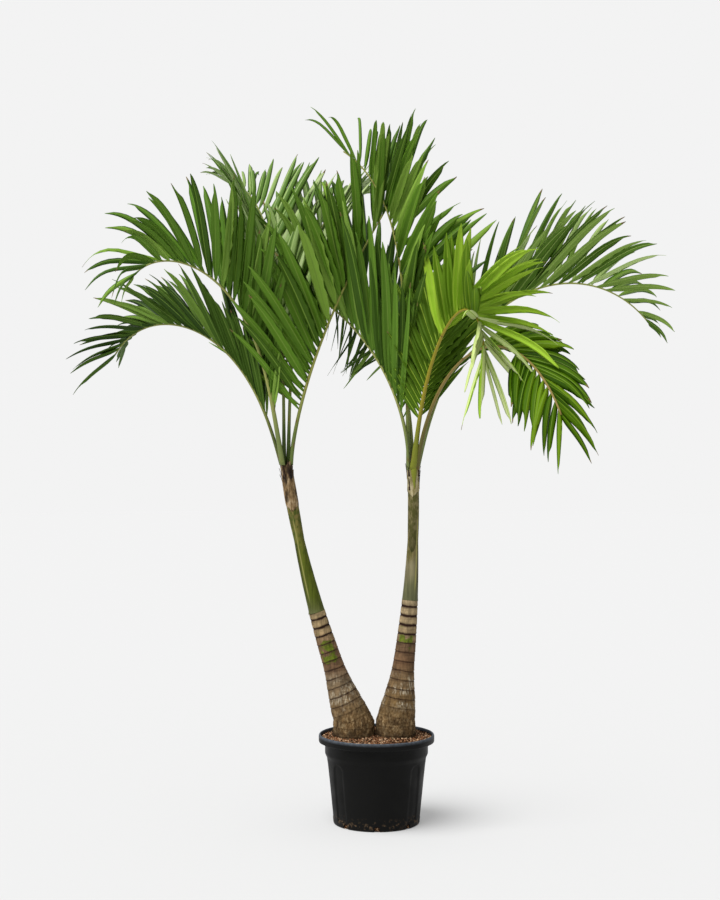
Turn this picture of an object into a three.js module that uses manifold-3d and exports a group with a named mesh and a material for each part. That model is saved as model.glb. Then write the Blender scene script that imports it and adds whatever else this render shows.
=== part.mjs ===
// A veitchia palm: two lean stems in one nursery pot, each with a crownshaft and a crown of fronds.
// Millimetres, +Z up. The origin is the middle of the pot's flat underside.
// Seen from the front, +X is to the right and +Y points away from the viewer.
import * as THREE from 'three';
import { mergeVertices } from 'three/addons/utils/BufferGeometryUtils.js';
import Module from 'manifold-3d';

const wasm = await Module();
wasm.setup();

const { clamp, degToRad, lerp, smoothstep } = THREE.MathUtils;

// Clearance between neighbouring pieces, and the wider one between leaflets of two fronds
const GAP = 0.3;
const LEAFLET_GAP = 1.2;

// Pot: a tapering wall with a collar and an overhanging rim
const POT_HEIGHT = 345;
const POT_SEGMENTS = 36;
const POT_FLOOR = 6;
const POT_WALL = 6;
const FOOT_RADIUS = 167.5;
const SHOULDER = { radius: 193, height: 255 };
const COLLAR = { radius: 200.5, bottom: 270, top: 312 };
const RIM = { outer: 225, inner: 217, bottom: 314, wall: 9 };

// Arched flutes pressed into both sides of the pot, and drain notches round its foot
const FLUTE_ANGLES = [52, 90, 128];
const FLUTE = { width: 56, bottom: 22, top: 246, depth: 3.2 };
const NOTCH = { count: 8, width: 22, height: 20, reach: 30 };

// Soil, slightly domed, a little under the rim
const SOIL = { edge: 330, crown: 339 };

// Stems: the foot stands in the soil, the trunk ends where the smooth crownshaft starts
const STEM_SEGMENTS = 12;
const STEM_FOOT = 325;
const BEND_START = 397;
const WAIST = { radius: 21.4, height: 1098, growth: 0.042 };
const FLARE = { top: 631, bottom: 370 };
const SCAR = { spacing: 36, first: 418, depth: 1.3, width: 7 };
const STEMS = {
  left: { footX: -88, middleX: -252, topX: -352, top: 1390, joint: 818, flare: 29, swell: 3.4 },
  right: { footX: 74, middleX: 131.5, topX: 142, top: 1371, joint: 865, flare: 25, swell: 1.2 },
};

// Petioles stand in a ring on the crownshaft's top
const PETIOLE = { ring: 17.5, radius: 7.2, tip: 3, sides: 4, steps: 12 };

// Leaflets: two rows along each rib, each one a three-sided blade
const LEAFLET = { pairs: 20, root: 7, rootThickness: 2.4, width: 42, thickness: 6, widest: 0.5 };
const ARC_STEPS = 60;
const TRIES = [
  { lift: 0, scale: 1 },
  { lift: 9, scale: 1 },
  { lift: -9, scale: 1 },
  { lift: 18, scale: 0.85 },
  { lift: -18, scale: 0.85 },
  { lift: 0, scale: 0.6 },
];

// Fronds. Angles are in degrees: seat is the petiole's place on the ring, heading where the frond
// points (0 right, 90 away from the viewer), turn how far it swings round on its way, rise its slope
// at the foot and droop the fall of its tip, with the bend late on the rib where bend is high.
// bare is the share of the rib with no leaflets. spread and lift are the leaflets' angles to the rib
// and out of its plane, and tilt is how far each blade is turned about its own line, all three at the
// root, at 0.6 of the row and at the tip. roll turns both rows about the rib.
// near and far are what the leaflets lose in length at the row's two ends, and clear is the share of
// the near row that has no leaflets. split is where an arching frond is cut in two at its crest.
const FROND = { turn: 0, bend: 1.6, bare: 0.17, leaf: 430, spread: [38, 48, 28], lift: [62, 60, 20],
  roll: 0, tilt: [28, 28, 28], sag: 0.12, curl: 0.2, near: 0.25, far: 0.55, fade: 2,
  clear: 0 };
const FRONDS = [
  { name: 'right_bright_frond', stem: 'right', seat: 270, heading: -63, turn: -20, rise: 77, droop: 72,
    bend: 1.9, length: 1154, split: 0.66, leaf: 400, spread: [46, 58, 16], lift: [36, 66, 10], roll: 20,
    tilt: [-25, -75, -98], curl: 0.1, near: 0.3, far: 0.25, fade: 3, color: '#7da032' },
  { name: 'left_fan_frond', stem: 'left', seat: 230, heading: 189, turn: 33.5, rise: 80.6, droop: 49,
    bend: 2.7, length: 1160, split: 0.76, leaf: 500, spread: [16, 48, 24], lift: [62, 66, 20], sag: 0.16,
    curl: 0.08, near: 0.6, far: 0.74, fade: 3, color: '#34621f' },
  { name: 'left_inner_frond', stem: 'left', seat: 0, heading: 12, turn: 2, rise: 90, droop: -57,
    bend: 0.5, length: 1230, leaf: 520, spread: [60, 40, 26], lift: [74, 60, 40], curl: 0, near: 0.1,
    far: 0.3, color: '#4a7c2c' },
  { name: 'right_tall_frond', stem: 'right', seat: 150, heading: 139, turn: 32, rise: 88.5, droop: -34,
    bend: 4, length: 1330, bare: 0.26, leaf: 510, spread: [46, 54, 24], lift: [40, 62, 60], curl: 0.1,
    near: 0.2, far: 0.46, fade: 1.2, color: '#4a7c2c' },
  { name: 'right_far_frond', stem: 'right', seat: 30, heading: 22.3, turn: 4.4, rise: 76, droop: 47,
    bend: 1.55, length: 1550, split: 0.74, bare: 0.28, leaf: 530, spread: [24, 50, 24], roll: -20,
    lift: [60, 66, 40], sag: 0.1, curl: 0.1, far: 0.8, fade: 1.3, color: '#34621f' },
  { name: 'right_low_frond', stem: 'right', seat: 330, heading: -65, turn: -2.6, rise: 76.6, droop: 54,
    bend: 0.97, length: 1360, split: 0.58, bare: 0.36, leaf: 290, spread: [36, 44, 28], lift: [20, -15, -40],
    roll: -24, tilt: [28, 40, 28], sag: 0.3, near: 0.35, far: 0.4, fade: 1, clear: 0.55,
    color: '#3a6b24' },
  { name: 'left_low_frond', stem: 'left', seat: 175, heading: 168, turn: -25, rise: 74, droop: 50,
    bend: 1.75, length: 1110, split: 0.72, leaf: 385, spread: [20, 28, 34], tilt: [28, 28, -30], far: 0.42,
    fade: 1.1, color: '#285018' },
  { name: 'right_inner_frond', stem: 'right', seat: 210, heading: 155, turn: -20, rise: 91, droop: -10,
    bend: 0.9, length: 1150, leaf: 540, spread: [40, 54, 30], lift: [60, 60, 40], near: -0.05,
    color: '#34621f' },
  { name: 'left_upright_frond', stem: 'left', seat: 65, heading: 60, rise: 88, droop: -20, bend: 2.2,
    length: 1280, bare: 0.28, leaf: 480, spread: [18, 28, 22], lift: [25, 25, 10], near: 0.4, sag: 0.05,
    curl: 0.05, color: '#4a7c2c' },
  { name: 'left_rear_frond', stem: 'left', seat: 120, heading: 112, turn: 10, rise: 89, droop: -20,
    bend: 2.4, length: 1320, bare: 0.28, leaf: 490, spread: [18, 36, 25], lift: [25, 35, 20], near: 0.4,
    sag: 0.05, curl: 0.05, color: '#4a7c2c' },
  { name: 'right_rear_frond', stem: 'right', seat: 90, heading: 128, turn: 10, rise: 88, droop: 0,
    bend: 1.6, length: 930, bare: 0.5, leaf: 290, spread: [76, 92, 96], lift: [-84, -86, -84], sag: 0.1,
    color: '#285018' },
].map((frond) => ({ ...FROND, ...frond }));

// A closed body with one vertex per corner and no empty triangles
function welded(geometry) {
  geometry.deleteAttribute('normal');
  geometry.deleteAttribute('uv');
  const body = mergeVertices(geometry, 1e-4);
  const corners = body.index.array;
  const kept = [];
  for (let i = 0; i < corners.length; i += 3) {
    const [a, b, c] = corners.slice(i, i + 3);
    if (a !== b && b !== c && c !== a) kept.push(a, b, c);
  }
  body.setIndex(kept);
  return body;
}

function toSolid(geometry) {
  const vertProperties = new Float32Array(geometry.attributes.position.array);
  const triVerts = new Uint32Array(geometry.index.array);
  return new wasm.Manifold(new wasm.Mesh({ numProp: 3, vertProperties, triVerts }));
}

function toGeometry(solid) {
  const { vertProperties, triVerts } = solid.getMesh();
  const geometry = new THREE.BufferGeometry();
  geometry.setAttribute('position', new THREE.BufferAttribute(new Float32Array(vertProperties), 3));
  geometry.setIndex(new THREE.BufferAttribute(new Uint32Array(triVerts), 1));
  return geometry;
}

// A body turned about +Z from a profile of [radius, height] points that runs from axis to axis
function turned(profile, segments) {
  const outline = profile.map(([radius, height]) => new THREE.Vector2(radius, height));
  return welded(new THREE.LatheGeometry(outline, segments).rotateX(Math.PI / 2));
}

// The same scatter from 0 to 1 for the same seed, at every run
function scatter(seed) {
  const value = Math.sin(seed * 12.9898) * 43758.5453;
  return value - Math.floor(value);
}

// Three values along a row: at its root, at 0.6 of it and at its tip
function along([root, middle, tip], place) {
  return place < 0.6 ? lerp(root, middle, place / 0.6) : lerp(middle, tip, (place - 0.6) / 0.4);
}

// Pot
function potBody() {
  const inside = FOOT_RADIUS - POT_WALL;
  return toSolid(turned([
    [0, 0],
    [FOOT_RADIUS, 0],
    [SHOULDER.radius, SHOULDER.height],
    [COLLAR.radius, COLLAR.bottom],
    [COLLAR.radius, COLLAR.top],
    [RIM.outer - 4, RIM.bottom],
    [RIM.outer, RIM.bottom + 5],
    [RIM.outer, POT_HEIGHT - 4],
    [RIM.outer - 4, POT_HEIGHT],
    [RIM.inner, POT_HEIGHT],
    [RIM.outer - RIM.wall, COLLAR.top + 6],
    [COLLAR.radius - POT_WALL, COLLAR.top],
    [COLLAR.radius - POT_WALL, COLLAR.bottom],
    [SHOULDER.radius - POT_WALL, SHOULDER.height - 2],
    [inside, POT_FLOOR],
    [0, POT_FLOOR],
  ], POT_SEGMENTS));
}

// One flute's cutter: an arched outline that follows the wall's slope
function fluteCutter(angle) {
  const half = FLUTE.width / 2;
  const arch = new THREE.Shape();
  arch.moveTo(-half, FLUTE.bottom);
  arch.lineTo(half, FLUTE.bottom);
  arch.lineTo(half, FLUTE.top - half);
  arch.absarc(0, FLUTE.top - half, half, 0, Math.PI);
  const cutter = new THREE.ExtrudeGeometry(arch, { depth: 20, bevelEnabled: false, curveSegments: 5 });
  const slope = Math.atan((SHOULDER.radius - FOOT_RADIUS) / SHOULDER.height);
  cutter.rotateX(Math.PI / 2 + slope);
  cutter.translate(0, -(FOOT_RADIUS - FLUTE.depth), 0);
  cutter.rotateZ(degToRad(angle));
  return toSolid(welded(cutter));
}

function notchCutter(index) {
  const notch = new THREE.BoxGeometry(NOTCH.width, NOTCH.reach, NOTCH.height * 2);
  notch.translate(0, -FOOT_RADIUS - NOTCH.reach / 2 + POT_WALL * 2, 0);
  notch.rotateZ((index / NOTCH.count) * 2 * Math.PI);
  return toSolid(welded(notch));
}

function potGeometry() {
  let pot = potBody();
  for (const angle of FLUTE_ANGLES) {
    pot = pot.subtract(fluteCutter(angle)).subtract(fluteCutter(-angle));
  }
  for (let i = 0; i < NOTCH.count; i += 1) pot = pot.subtract(notchCutter(i));
  return toGeometry(pot);
}

// Stem centre line and girth
function stemCentre(stem, height) {
  const share = Math.max(0, (height - BEND_START) / (stem.top - BEND_START));
  const pull = 2 * stem.middleX - (stem.footX + stem.topX) / 2;
  const rest = 1 - share;
  return rest * rest * stem.footX + 2 * rest * share * pull + share * share * stem.topX;
}

function stemRadius(stem, height) {
  const taper = WAIST.radius + WAIST.growth * Math.max(0, WAIST.height - height);
  const flare = stem.flare * (1 - smoothstep(height, FLARE.bottom, FLARE.top));
  const upper = clamp((height - WAIST.height) / (stem.top - WAIST.height), 0, 1);
  return taper + flare + stem.swell * Math.sin(Math.PI * upper);
}

// A stem piece between two heights, its sections level and shifted to the centre line
function stemPiece(stem, profile) {
  const piece = turned(profile, STEM_SEGMENTS);
  const corners = piece.attributes.position;
  for (let i = 0; i < corners.count; i += 1) {
    corners.setX(i, corners.getX(i) + stemCentre(stem, corners.getZ(i)));
  }
  return piece;
}

// The trunk, ringed by leaf scars, with grow mm added all round
function trunkGeometry(stem, grow = 0) {
  const bottom = STEM_FOOT - grow;
  const top = stem.joint - GAP;
  const profile = [[0, bottom]];
  const ring = (height, depth = 0) => profile.push([stemRadius(stem, height) + grow - depth, height]);
  ring(bottom);
  ring(BEND_START - 24);
  for (let scar = SCAR.first; scar < top - SCAR.width; scar += SCAR.spacing) {
    ring(scar - SCAR.width);
    ring(scar, SCAR.depth);
  }
  ring(top);
  profile.push([0, top]);
  return stemPiece(stem, profile);
}

function crownshaftGeometry(stem) {
  const steps = 9;
  const profile = [[0, stem.joint]];
  for (let i = 0; i <= steps; i += 1) {
    const height = lerp(stem.joint, stem.top, i / steps);
    profile.push([stemRadius(stem, height), height]);
  }
  profile.push([0, stem.top]);
  return stemPiece(stem, profile);
}

// Soil fills the pot and is cut clear of the two feet
function soilGeometry() {
  const inside = (radius) => radius - POT_WALL - GAP * 1.5;
  let soil = toSolid(turned([
    [0, POT_FLOOR + GAP],
    [inside(FOOT_RADIUS), POT_FLOOR + GAP],
    [inside(SHOULDER.radius), SHOULDER.height - 2],
    [inside(COLLAR.radius), COLLAR.bottom],
    [inside(COLLAR.radius), COLLAR.top + GAP * 2],
    [RIM.outer - RIM.wall - 1, COLLAR.top + 6 + GAP * 2],
    [RIM.outer - RIM.wall - 1, SOIL.edge],
    [RIM.inner * 0.6, lerp(SOIL.edge, SOIL.crown, 0.7)],
    [0, SOIL.crown],
  ], POT_SEGMENTS));
  for (const stem of Object.values(STEMS)) soil = soil.subtract(toSolid(trunkGeometry(stem, GAP * 1.5)));
  return toGeometry(soil);
}

// The rib's line: its slope and heading at each share of its length, and the points they add up to
function ribAngles(frond, share) {
  return {
    slope: degToRad(frond.rise - (frond.rise + frond.droop) * share ** frond.bend),
    heading: degToRad(frond.heading + frond.turn * share ** 1.5),
  };
}

function ribAxes(frond, share) {
  const { slope, heading } = ribAngles(frond, share);
  const forward = new THREE.Vector3(Math.cos(slope) * Math.cos(heading),
    Math.cos(slope) * Math.sin(heading), Math.sin(slope));
  const side = new THREE.Vector3(-Math.sin(heading), Math.cos(heading), 0);
  side.applyAxisAngle(forward, -degToRad(frond.roll));
  return { forward, side, upper: new THREE.Vector3().crossVectors(forward, side) };
}

function ribPoints(frond) {
  const stem = STEMS[frond.stem];
  const seat = degToRad(frond.seat);
  const points = [new THREE.Vector3(stem.topX + PETIOLE.ring * Math.cos(seat),
    PETIOLE.ring * Math.sin(seat), stem.top + GAP)];
  for (let i = 0; i < ARC_STEPS; i += 1) {
    const { forward } = ribAxes(frond, (i + 0.5) / ARC_STEPS);
    points.push(points[i].clone().addScaledVector(forward, frond.length / ARC_STEPS));
  }
  return points;
}

function ribPoint(frond, share) {
  const place = clamp(share, 0, 1) * ARC_STEPS;
  const step = Math.min(Math.floor(place), ARC_STEPS - 1);
  return frond.points[step].clone().lerp(frond.points[step + 1], place - step);
}

function ribRadius(share) {
  return lerp(PETIOLE.radius, PETIOLE.tip, share);
}

// A stretch of rib: a closed cylinder bent along the rib's line, its foot level
function ribGeometry(frond, from, to) {
  const steps = Math.ceil(PETIOLE.steps * (to - from));
  const tube = welded(new THREE.CylinderGeometry(1, 1, 1, PETIOLE.sides, steps));
  const corners = tube.attributes.position;
  for (let i = 0; i < corners.count; i += 1) {
    const share = lerp(from, to, corners.getY(i) + 0.5);
    const { side, upper, forward } = ribAxes(frond, share);
    if (share === 0) upper.crossVectors(forward.set(0, 0, 1), side.setZ(0).normalize());
    const corner = ribPoint(frond, share);
    corner.addScaledVector(side, corners.getX(i) * ribRadius(share));
    corner.addScaledVector(upper, -corners.getZ(i) * ribRadius(share));
    corners.setXYZ(i, corner.x, corner.y, corner.z);
  }
  return tube;
}

// A leaflet's place in its row. The two rows are staggered by half a step.
function rowPlace(index, sideSign) {
  return (index + 0.5 + 0.25 * sideSign) / LEAFLET.pairs;
}

// Where a leaflet springs and how it points, with a little scatter
function leafletPlan(frond, index, sideSign, extraLift, scale) {
  const place = rowPlace(index, sideSign);
  const share = lerp(frond.bare, 1, place);
  const { forward, side, upper } = ribAxes(frond, share);
  const seed = frond.seat * 7 + index * 2.37 + sideSign;
  const spread = degToRad(along(frond.spread, place) + 8 * (scatter(seed) - 0.5));
  const lift = degToRad(along(frond.lift, place) + 12 * (scatter(seed + 31) - 0.5) + extraLift);
  const farLoss = frond.far * Math.max(0, (place - 0.35) / 0.65) ** frond.fade;
  const nearLoss = frond.near * Math.max(0, (0.35 - place) / 0.35) ** 2;
  const ray = forward.clone().multiplyScalar(Math.cos(spread));
  ray.addScaledVector(side, sideSign * Math.sin(spread) * Math.cos(lift));
  ray.addScaledVector(upper, Math.sin(spread) * Math.sin(lift));
  const lean = forward.clone().multiplyScalar(frond.curl).add(new THREE.Vector3(0, 0, -1.6 * frond.sag));
  const across = forward.clone().addScaledVector(ray, -ray.dot(forward)).normalize();
  across.multiplyScalar(sideSign);
  const face = across.clone().cross(ray);
  const tilt = degToRad(along(frond.tilt, place));
  across.multiplyScalar(Math.cos(tilt)).addScaledVector(face, -sideSign * Math.sin(tilt));
  return {
    share,
    root: ribPoint(frond, share),
    length: frond.leaf * (1 - farLoss - nearLoss) * (0.95 + 0.1 * scatter(seed + 57)) * scale,
    ray,
    lean,
    across,
    face: across.clone().cross(ray),
  };
}

// A leaflet: a three-sided cone flattened to a blade, bent by its own weight, with grow mm added
function leafletGeometry(plan, grow = 0) {
  const sections = [
    [0, LEAFLET.root, LEAFLET.rootThickness],
    [LEAFLET.widest, LEAFLET.width, LEAFLET.thickness],
    [1, 0, 0],
  ];
  const blade = welded(new THREE.ConeGeometry(1, 1, 3, 2));
  const corners = blade.attributes.position;
  for (let i = 0; i < corners.count; i += 1) {
    const [way, width, thickness] = sections[Math.round((corners.getY(i) + 0.5) * 2)];
    const edge = Math.abs(corners.getX(i)) > 0.01 ? Math.sign(corners.getX(i)) : 0;
    const ridge = Math.abs(corners.getZ(i)) > 0.01 ? Math.sign(corners.getZ(i)) : 0;
    const corner = plan.root.clone().addScaledVector(plan.ray, plan.length * way + (way === 1 ? grow : 0));
    corner.addScaledVector(plan.lean, (plan.length * way ** 3) / 3);
    corner.addScaledVector(plan.across, edge * (width / 2 + grow));
    corner.addScaledVector(plan.face, ridge * (thickness / 2 + grow));
    corners.setXYZ(i, corner.x, corner.y, corner.z);
  }
  return blade;
}

// A body's box, edges and faces, for the test whether two bodies touch
function outlineOf(geometry) {
  const source = geometry.attributes.position;
  const points = [];
  for (let i = 0; i < source.count; i += 1) points.push(new THREE.Vector3().fromBufferAttribute(source, i));
  const corners = geometry.index.array;
  const edges = [];
  const faces = [];
  for (let i = 0; i < corners.length; i += 3) {
    const face = [0, 1, 2].map((k) => corners[i + k]);
    faces.push(face.map((corner) => points[corner]));
    face.forEach((from, k) => {
      const to = face[(k + 1) % 3];
      if (from < to) edges.push([points[from], points[to]]);
    });
  }
  return { edges, faces, box: new THREE.Box3().setFromPoints(points) };
}

const probe = new THREE.Ray();
const hit = new THREE.Vector3();

function pierces(outline, other) {
  return outline.edges.some(([from, to]) => {
    const reach = from.distanceTo(to);
    probe.origin.copy(from);
    probe.direction.subVectors(to, from).divideScalar(reach);
    return other.faces.some(([a, b, c]) => probe.intersectTriangle(a, b, c, false, hit)
      && hit.distanceTo(from) < reach);
  });
}

function touches(outline, others) {
  return others.some((other) => outline.box.intersectsBox(other.box)
    && (pierces(outline, other) || pierces(other, outline)));
}

// The first way of placing a leaflet that clears all other pieces but its own rib, or nothing
function placeLeaflet(frond, ownRib, index, sideSign, placed) {
  const others = placed.filter((other) => other !== ownRib);
  for (const { lift, scale } of TRIES) {
    const plan = leafletPlan(frond, index, sideSign, lift, scale);
    if (!touches(outlineOf(leafletGeometry(plan, LEAFLET_GAP)), others)) {
      placed.push(outlineOf(leafletGeometry(plan)));
      return toSolid(leafletGeometry(plan));
    }
  }
  return null;
}

// The stretches that a frond is made in: one, or two where it is cut at its crest
function stretches(frond) {
  if (!frond.split) return [{ frond, node: frond.name, from: 0, to: 1 }];
  const cut = GAP / frond.length;
  return [
    { frond, node: frond.name, from: 0, to: frond.split },
    { frond, node: `${frond.name}_tip`, from: frond.split + cut, to: 1 },
  ];
}

function frondMeshes() {
  const pieces = FRONDS.flatMap((frond) => {
    frond.points = ribPoints(frond);
    return stretches(frond);
  });
  const ribs = pieces.map(({ frond, from, to }) => outlineOf(ribGeometry(frond, from, to)));
  const shafts = Object.values(STEMS).map((stem) => outlineOf(crownshaftGeometry(stem)));
  const placed = [...ribs, ...shafts];
  return pieces.map(({ frond, node, from, to }, piece) => {
    let body = toSolid(ribGeometry(frond, from, to));
    for (let index = 0; index < LEAFLET.pairs; index += 1) {
      for (const sideSign of [1, -1]) {
        const place = rowPlace(index, sideSign);
        const share = lerp(frond.bare, 1, place);
        if (share < from || share > to) continue;
        if (sideSign < 0 && place < frond.clear) continue;
        const leaflet = placeLeaflet(frond, ribs[piece], index, sideSign, placed);
        if (leaflet) body = body.add(leaflet);
      }
    }
    return finished(node, toGeometry(body), frond.color, 0.55);
  });
}

function finished(name, geometry, color, roughness) {
  geometry.computeVertexNormals();
  const material = new THREE.MeshStandardMaterial({ color, roughness, metalness: 0 });
  const mesh = new THREE.Mesh(geometry, material);
  mesh.name = name;
  return mesh;
}

const palm = new THREE.Group();
palm.add(finished('pot', potGeometry(), '#1c1c1b', 0.55));
palm.add(finished('soil', soilGeometry(), '#966e55', 0.95));
for (const [side, stem] of Object.entries(STEMS)) {
  palm.add(finished(`${side}_trunk`, trunkGeometry(stem), '#7d6248', 0.9));
  palm.add(finished(`${side}_crownshaft`, crownshaftGeometry(stem), '#7d8660', 0.7));
}
palm.add(...frondMeshes());

export default palm;
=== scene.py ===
"""A veitchia palm in a nursery pot: its looks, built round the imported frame. Metres, +Z up."""
from math import cos, exp, hypot, pi, radians, sin, sqrt
from types import SimpleNamespace as Data

import bpy
import numpy as np
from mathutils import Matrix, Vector, noise


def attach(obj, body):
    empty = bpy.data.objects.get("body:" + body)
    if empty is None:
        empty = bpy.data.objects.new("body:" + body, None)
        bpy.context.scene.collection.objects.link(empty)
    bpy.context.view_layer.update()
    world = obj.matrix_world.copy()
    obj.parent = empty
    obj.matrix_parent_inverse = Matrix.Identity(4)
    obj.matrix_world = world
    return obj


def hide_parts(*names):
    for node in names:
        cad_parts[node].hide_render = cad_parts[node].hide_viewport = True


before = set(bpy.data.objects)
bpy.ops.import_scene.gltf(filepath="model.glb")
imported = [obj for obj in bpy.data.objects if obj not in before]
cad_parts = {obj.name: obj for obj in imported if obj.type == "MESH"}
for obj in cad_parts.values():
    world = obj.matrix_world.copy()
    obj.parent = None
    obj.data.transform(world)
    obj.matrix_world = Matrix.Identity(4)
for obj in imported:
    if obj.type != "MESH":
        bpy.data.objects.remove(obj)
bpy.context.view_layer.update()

# Camera: the photo was taken level, from the height of the crownshafts
CAMERA_PLACE = (-0.0643, -6.0, 1.449)
CAMERA_LENS = 61.6
CAMERA_SENSOR = 36.0

# Studio: tones and strengths of floor, background and suns, and the suns' directions in degrees
WORLD_LIGHT = 0.45
BACKGROUND = 0.896
FLOOR_TONE = 0.519
FLOOR_GLOW = 0.235
FLOOR_RADIUS = 30
FLOOR_SIDES = 96
SUN_STRENGTH = 3.3
SUN_SPREAD = 50
SUN_TURN = -52
SUN_TILT = 38
FLOOR_SUN_TILT = 31
FLOOR_SHADOW_NAMES = ("pot", "soil", "left_trunk", "right_trunk")

# Pot: the wall's corners, the flutes pressed into it and the drain notches at its foot
POT_SIDES = 216
WALL_TOP = 0.262
WALL_RINGS = 64
FOOT_RADIUS = 0.1675
FOOT_ROUND = Data(radius=0.004, height=0.005)
SHOULDER = Data(radius=0.193, height=0.255)
COLLAR = Data(radius=0.2005, bottom=0.270, top=0.312)
FLUTE_ANGLES = (52, 90, 128, -52, -90, -128)
FLUTE = Data(width=0.056, bottom=0.022, top=0.246, depth=0.0032, edge=0.004, foot_edge=0.006)
NOTCH = Data(count=8, width=0.022, height=0.020, below=-0.01, reaches=(0.158, 0.178))
NOTCH_ANGLES = [-pi / 2 + index / NOTCH.count * 2 * pi for index in range(NOTCH.count)]

# Radius and height of the collar, the rim and the inner wall, from the wall's top round to its inner foot
POT_PROFILE = (
    (0.1985, 0.267), (0.2003, 0.271), (0.2005, 0.275), (0.2005, 0.309), (0.2020, 0.3125),
    (0.2200, 0.3145), (0.2240, 0.3165), (0.2250, 0.3200), (0.2250, 0.3370), (0.2243, 0.3410),
    (0.2225, 0.3440), (0.2205, 0.3450), (0.2190, 0.3446), (0.2178, 0.3430), (0.2172, 0.3400),
    (0.2158, 0.3250), (0.2150, 0.3185), (0.1990, 0.3160), (0.1960, 0.3120), (0.1945, 0.2700),
    (0.1880, 0.2530), (0.1625, 0.0080), (0.1600, 0.0060))

# Soil: a dome over a skirt, of radius and height, that keeps clear of the pot's inner wall
SOIL = Data(edge=0.330, crown=0.339, radius=0.2155, sides=160, rings=46)
SOIL_SKIRT = ((0.2150, 0.3190), (0.1958, 0.3140), (0.1935, 0.2700), (0.1868, 0.2530), (0.1615, 0.0065))

# Loose crumbs: an eight-sided stone, how many and how large, and the chance of each tone
CRUMB = np.array([(1, 0, 0), (-1, 0, 0), (0, 1, 0), (0, -1, 0), (0, 0, 1), (0, 0, -1)], float)
CRUMB_FACES = [(0, 2, 4), (2, 1, 4), (1, 3, 4), (3, 0, 4), (2, 0, 5), (1, 2, 5), (3, 1, 5), (0, 3, 5)]
CRUMB_SEED = 7
CRUMB_TONES = ("soil_red", "soil_brown", "soil_pale")
CRUMBS = Data(tries=4200, inset=0.004, sizes=(0.0016, 0.0062), raised=0.35, chances=(0.50, 0.28, 0.22))
NOTCH_CRUMBS = Data(count=26, turn=0.055, radii=(0.1595, 0.1665), sizes=(0.0015, 0.0035),
                    heights=(0.003, 0.016), chances=(0.4, 0.4, 0.2))

# Stems: girth and lean follow the same rule as the solids, with the same gap between sub-parts
STEM_FOOT = 0.325
BEND_START = 0.397
GAP = 0.0003
WAIST = Data(radius=0.0214, height=1.098, growth=0.042)
FLARE = Data(top=0.631, bottom=0.370)
TRUNK_GRID = Data(step=0.0017, sides=128)
SHAFT_GRID = Data(step=0.0025, sides=96)

# Bark relief: a scar's distance from the joint and depth, the lip over it, fibres, cracks, rough foot
SCAR = Data(first=0.023, depth=0.0016, lip=0.0009)
BARK = Data(fibre=0.0004, foot_rough=0.0022, foot_fibre=0.0012, crack=0.0014)

# Each stem: its line; the joint of trunk and crownshaft; flare, swell, gap between leaf scars, mossy
# heights; the crownshaft's margin in degrees, the side of it with painted shade and how far up; where
# the dry sheath starts; where a painted shadow at a sheath's end starts and how far up it fades;
# whether a petiole's foot lies over it; the seeds
STEMS = {
    "left": Data(foot_x=-0.088, middle_x=-0.252, top_x=-0.352, top=1.390, joint=0.818, flare=0.029,
                 swell=0.0034, scars=0.0325, moss=(0.632, 0.702), margin=236, shade=-1, shade_top=1.11,
                 sheath=1.212, mark=1.212, mark_fade=0.012, wedged=False,
                 fibre_seed=5, sheath_seed=20, strip_seed=3),
    "right": Data(foot_x=0.074, middle_x=0.1315, top_x=0.142, top=1.371, joint=0.865, flare=0.025,
                  swell=0.0012, scars=0.0355, moss=(0.705, 0.733), margin=300, shade=1, shade_top=1.30,
                  sheath=1.268, mark=1.053, mark_fade=0.085, wedged=True,
                  fibre_seed=9, sheath_seed=30, strip_seed=4),
}

# Dry sheaths: the sleeve, whose lower edge hangs lowest at its front, and the torn strips over it
SHEATH_FRONT = radians(262)
SLEEVE = Data(proud=0.0012, torn=0.016, above=0.008, hang=0.022, inside=0.965, sides=96, rings=26)
STRIPS = Data(count=16, stations=7, radius=0.0235, splay=0.006, lengths=(0.03, 0.075),
              widths=(0.004, 0.010), depths=(0.02, 0.085))

# The foot of the lowest petiole, over the dry sheath; no torn strips close to it
WEDGE = Data(middle=radians(279), half_width=0.0136, thickness=0.0086, above=0.012, tip=1.296,
             clear=0.75, stations=14)
WEDGE_SECTION = ((-1, 0), (-0.8, 0.6), (-0.4, 0.92), (0, 1), (0.4, 0.92), (0.8, 0.6), (1, 0), (0, -0.4))

# Ribs and leaflets: the same rule as the solids, with more and finer leaflets
PETIOLE = Data(ring=0.0175, radius=0.0078, tip=0.0032, foot=1.35, foot_reach=0.09)
ARC_STEPS = 60
RIB_STATIONS = 72
RIB_SIDES = 12

# A frond's values, with angles in degrees, and three values for root, 0.6 and tip of its rows:
# seat, heading, turn: where its foot sits, which way it goes and how far it veers
# rise, droop, bend: its slope at the foot, down from level at the tip, and how late it bends
# length, bare, stout: the rib's length, its share without leaflets, its girth at the foot
# leaf, width, thin, pairs: the longest leaflet's size, the width left at the tip, how many
# spread, lift, tilt: a leaflet's angle from the rib, out of its plane, and about its own axis
# roll, sag, curl, hook: the rib's own turn; a leaflet's fall, bend to the tip, and folded end
# near, far, fade: how much shorter leaflets are at either end of a row, and how late that starts
# loose, ragged, gaps, clear: scatter of lengths and angles, chance of gaps, bare share of one row
# bands: where its tone turns from painted shade near the root to lighter green, with painted light on
# the right row, and to pale; tip: whether its solid is in two halves
FROND = dict(turn=0, bend=1.6, bare=0.17, leaf=0.430, width=0.041, spread=(38, 48, 28), lift=(62, 60, 20),
             roll=0, tilt=(28, 28, 28), sag=0.12, curl=0.2, near=0.25, far=0.55, fade=2,
             hook=(0.05, 0.1, 0.3), pairs=28, thin=0.45, gaps=0.12, clear=0, loose=0.2,
             ragged=1, bands=(), stout=1.15, tip=False, slot="leaf_dark", tint="dark")

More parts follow.
